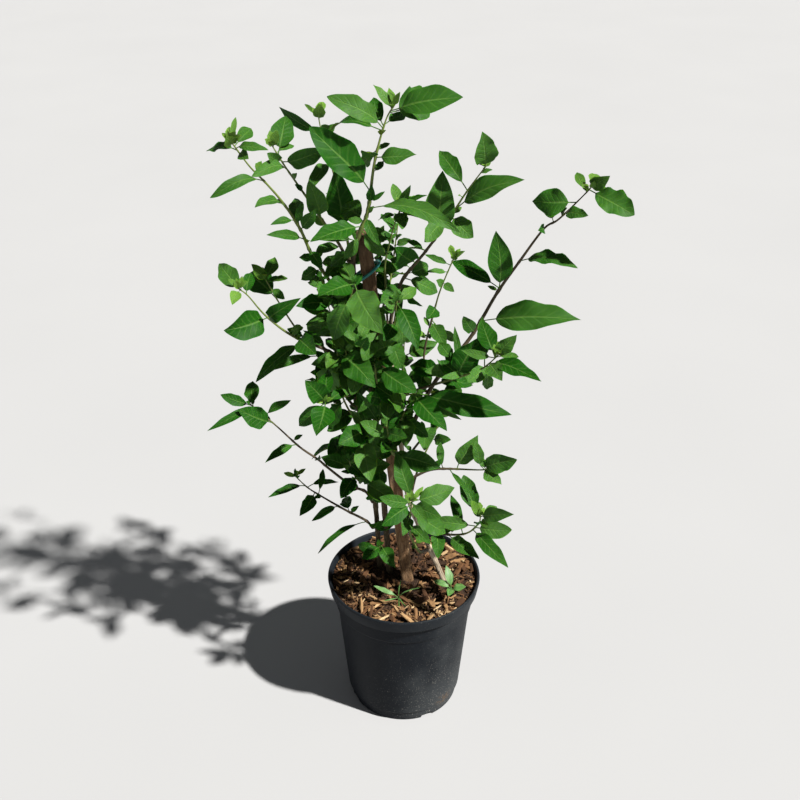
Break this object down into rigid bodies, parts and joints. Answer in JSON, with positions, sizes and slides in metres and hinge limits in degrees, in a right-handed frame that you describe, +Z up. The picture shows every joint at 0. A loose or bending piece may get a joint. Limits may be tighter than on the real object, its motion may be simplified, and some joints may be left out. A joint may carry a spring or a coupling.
{
  "type": "potted shrub",
  "caption": "Young staked garden shrub with woody stems and loose leafy branches, standing in a round black nursery pot topped with bark mulch.",
  "frame": {"origin": "centre of the pot's flat underside, on the floor", "axes": "+Z up along the pot's axis; +Y from the viewer's side to the back; +X to the viewer's right"},
  "size_m": [0.6686, 0.4012, 1.1854],
  "materials": {
    "pot": "satin black, dusty",
    "mix": "crumbly potting mix",
    "mulch": "rough wood and bark chips",
    "stake": "sawn hardwood with open grain",
    "tie": "soft smooth tube",
    "bark": "thin rough bark",
    "leaf": "satin leaves with paler midribs, on green twigs",
    "grass": "young green leaves"
  },
  "bodies": {
    "root": {"pot": "pot", "potting_mix": "mix", "bark_mulch": "mulch", "stake": "stake", "plant_tie": "tie", "stem_main": "bark", "stem_left": "bark", "stem_right": "bark", "branch_leader": "leaf", "branch_upper_left_front": "leaf", "branch_upper_left": "leaf", "branch_upper_left_back": "leaf", "branch_upper_right": "leaf", "shoot_centre_top": "leaf", "branch_right": "leaf", "shoot_centre_right": "leaf", "branch_right_front": "leaf", "shoot_centre_front": "leaf", "branch_low_right": "leaf", "shoot_low_right_back": "leaf", "branch_low_right_front": "leaf", "shoot_low_front": "leaf", "branch_left_front": "leaf", "branch_left": "leaf", "branch_low_left": "leaf", "branch_lowest_left": "leaf", "shoot_left_front": "leaf", "shoot_front_top": "leaf", "shoot_front_left": "leaf", "shoot_front_right": "leaf", "shoot_front_high": "leaf", "shoot_front_low": "leaf", "shoot_foot": "leaf", "shoot_heart_top": "leaf", "shoot_heart_mid": "leaf", "shoot_heart_low": "leaf", "shoot_left_dark": "leaf", "inner_shoot_1": "leaf", "inner_shoot_2": "leaf", "inner_shoot_3": "leaf", "inner_shoot_4": "leaf", "inner_shoot_5": "leaf", "inner_shoot_6": "leaf", "back_shoot_1": "leaf", "back_shoot_2": "leaf", "back_shoot_3": "leaf", "back_shoot_4": "leaf", "inner_shoot_7": "leaf", "inner_shoot_8": "leaf", "inner_shoot_9": "leaf", "grass_seedling": "grass", "broad_seedling": "grass"}
  },
  "joints": []
}
